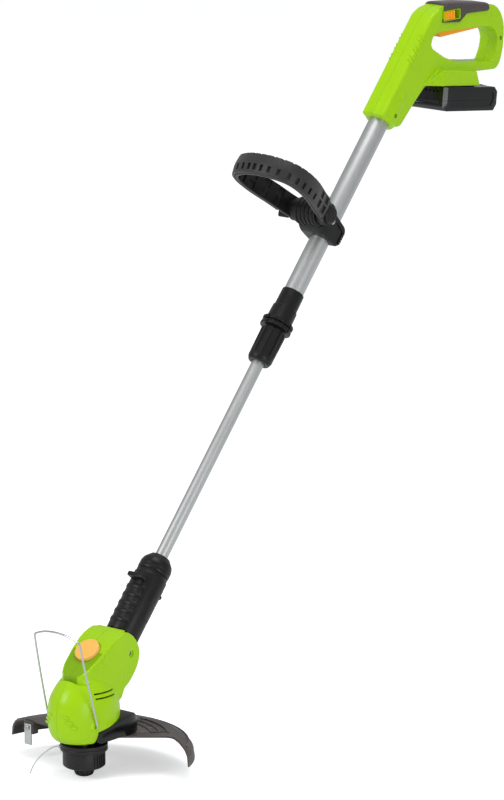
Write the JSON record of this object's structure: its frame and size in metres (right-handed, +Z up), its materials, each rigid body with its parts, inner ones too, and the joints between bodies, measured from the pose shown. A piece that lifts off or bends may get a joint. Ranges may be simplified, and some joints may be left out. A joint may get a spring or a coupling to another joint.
{
  "type": "cordless string trimmer",
  "caption": "Battery string trimmer with telescopic pole, swivel tilting head, line spool, guard, wire edge hoop, tilting loop handle and trigger grip.",
  "frame": {"origin": "middle of the bump knob's flat underside, where the head rests on the ground", "axes": "+Z up, -Y towards the front of the cutting head, so the pole rises to +Y, and +X across the tool to its left"},
  "size_m": [0.3032, 0.9993, 1.0146],
  "materials": {
    "green_plastic": "glossy moulded",
    "orange_plastic": "glossy moulded",
    "black_plastic": "satin moulded",
    "guard_plastic": "fine grain",
    "grey_plastic": "satin moulded",
    "soft_rubber": "matte",
    "tube_metal": "satin anodised",
    "steel": "bright",
    "nylon_line": "smooth",
    "cell_wrap": "shrink film"
  },
  "bodies": {
    "body": {"upper_tube": "tube_metal", "clamp_sleeve": "black_plastic", "clamp_collet": "grey_plastic", "power_cable": "black_plastic", "loop_clamp_left": "black_plastic", "loop_clamp_right": "black_plastic", "loop_clamp_screw": "steel", "loop_bolt": "steel", "handle_shell_left": "green_plastic", "handle_shell_right": "green_plastic", "handle_screw_1": "steel", "handle_screw_2": "steel", "grip_cover": "soft_rubber", "lock_frame": "green_plastic", "trigger_pin": "steel", "trigger_spring": "steel", "trigger_switch": "black_plastic", "terminal_block": "black_plastic"},
    "lower_pole": {"lower_tube": "tube_metal", "guide_bush": "black_plastic"},
    "collar": {"neck_collar": "black_plastic"},
    "nut": {"clamp_nut": "black_plastic"},
    "neck_body": {"neck": "black_plastic"},
    "swivel": {"swivel_button": "black_plastic"},
    "head": {"head_shell_left": "green_plastic", "head_shell_right": "green_plastic", "tilt_button_spring": "steel", "tilt_bolt": "steel", "motor_mount": "black_plastic", "motor": "steel", "guard": "guard_plastic", "guard_bracket": "black_plastic", "line_cutter": "steel", "cutter_screw": "steel", "guard_screw_left": "steel", "guard_screw_right": "steel"},
    "button": {"tilt_button": "orange_plastic"},
    "hoop": {"wire_guard": "steel"},
    "spool": {"spool_base": "grey_plastic", "spool_cap": "grey_plastic", "line_spool": "black_plastic", "wound_line": "nylon_line", "bump_spring": "steel", "drive_shaft": "steel", "line_eyelet": "steel", "cutting_line": "nylon_line"},
    "knob": {"bump_knob": "grey_plastic"},
    "loop": {"loop_frame": "black_plastic", "loop_grip": "soft_rubber"},
    "loop_knob_body": {"loop_knob": "black_plastic"},
    "trigger_body": {"trigger": "orange_plastic"},
    "slider": {"lock_slider": "orange_plastic"},
    "battery": {"battery_base": "black_plastic", "battery_top": "black_plastic", "battery_cell_1": "cell_wrap", "battery_cell_2": "cell_wrap", "battery_cell_3": "cell_wrap", "battery_cell_4": "cell_wrap", "battery_cell_5": "cell_wrap"},
    "latch": {"battery_latch": "grey_plastic"}
  },
  "joints": [
    {"name": "pole_slide", "type": "slide", "parent": "body", "child": "lower_pole", "axis": [0, 0.6574, 0.7536], "range_m": [0, 0.2]},
    {"name": "collar_lift", "type": "slide", "parent": "lower_pole", "child": "collar", "axis": [0, 0.6574, 0.7536], "range_m": [0, 0.006], "stiffness_N_per_m": 300},
    {"name": "clamp_twist", "type": "hinge", "parent": "body", "child": "nut", "pos_m": [0, 0.066, 0.17], "axis": [0, 0.6574, 0.7536], "range_deg": [0, 90]},
    {"name": "neck_swivel", "type": "hinge", "parent": "lower_pole", "child": "neck_body", "pos_m": [0, 0.066, 0.17], "axis": [0, 0.6574, 0.7536], "range_deg": [0, 180]},
    {"name": "swivel_press", "type": "slide", "parent": "neck_body", "child": "swivel", "axis": [-0.454, -0.6714, 0.5857], "range_m": [0, 0.002], "stiffness_N_per_m": 400},
    {"name": "head_tilt", "type": "hinge", "parent": "neck_body", "child": "head", "pos_m": [0, 0.066, 0.17], "axis": [1, 0, 0], "range_deg": [0, 35]},
    {"name": "tilt_press", "type": "slide", "parent": "head", "child": "button", "axis": [0, 0.5978, -0.8016], "range_m": [0, 0.003], "stiffness_N_per_m": 500, "deforming": ["tilt_button_spring"]},
    {"name": "wire_swing", "type": "hinge", "parent": "head", "child": "hoop", "pos_m": [0, -0.023, 0.083], "axis": [1, 0, 0], "range_deg": [0, 90]},
    {"name": "spool_spin", "type": "hinge", "parent": "head", "child": "spool", "pos_m": [0, 0, 0], "axis": [0, 0, 1], "continuous": true},
    {"name": "bump_press", "type": "slide", "parent": "spool", "child": "knob", "axis": [0, 0, 1], "range_m": [0, 0.004], "stiffness_N_per_m": 600, "deforming": ["bump_spring"]},
    {"name": "loop_tilt", "type": "hinge", "parent": "body", "child": "loop", "pos_m": [0, 0.50625, 0.74008], "axis": [1, 0, 0], "range_deg": [-30, 30]},
    {"name": "loop_knob_turn", "type": "hinge", "parent": "body", "child": "loop_knob_body", "pos_m": [0, 0.50625, 0.74008], "axis": [1, 0, 0], "continuous": true},
    {"name": "trigger_pull", "type": "hinge", "parent": "body", "child": "trigger_body", "pos_m": [0, 0.893, 0.974], "axis": [-1, 0, 0], "range_deg": [0, 5], "stiffness_Nm_per_rad": 0.6, "springref_deg": -11.46, "deforming": ["trigger_spring"]},
    {"name": "lock_slide", "type": "slide", "parent": "body", "child": "slider", "axis": [0, 1, 0], "range_m": [0, 0.008], "stiffness_N_per_m": 200},
    {"name": "battery_slide", "type": "slide", "parent": "body", "child": "battery", "axis": [0, 0.9925, -0.1219], "range_m": [0, 0.1]},
    {"name": "latch_press", "type": "slide", "parent": "battery", "child": "latch", "axis": [0, -0.1219, -0.9925], "range_m": [0, 0.003], "stiffness_N_per_m": 400}
  ]
}
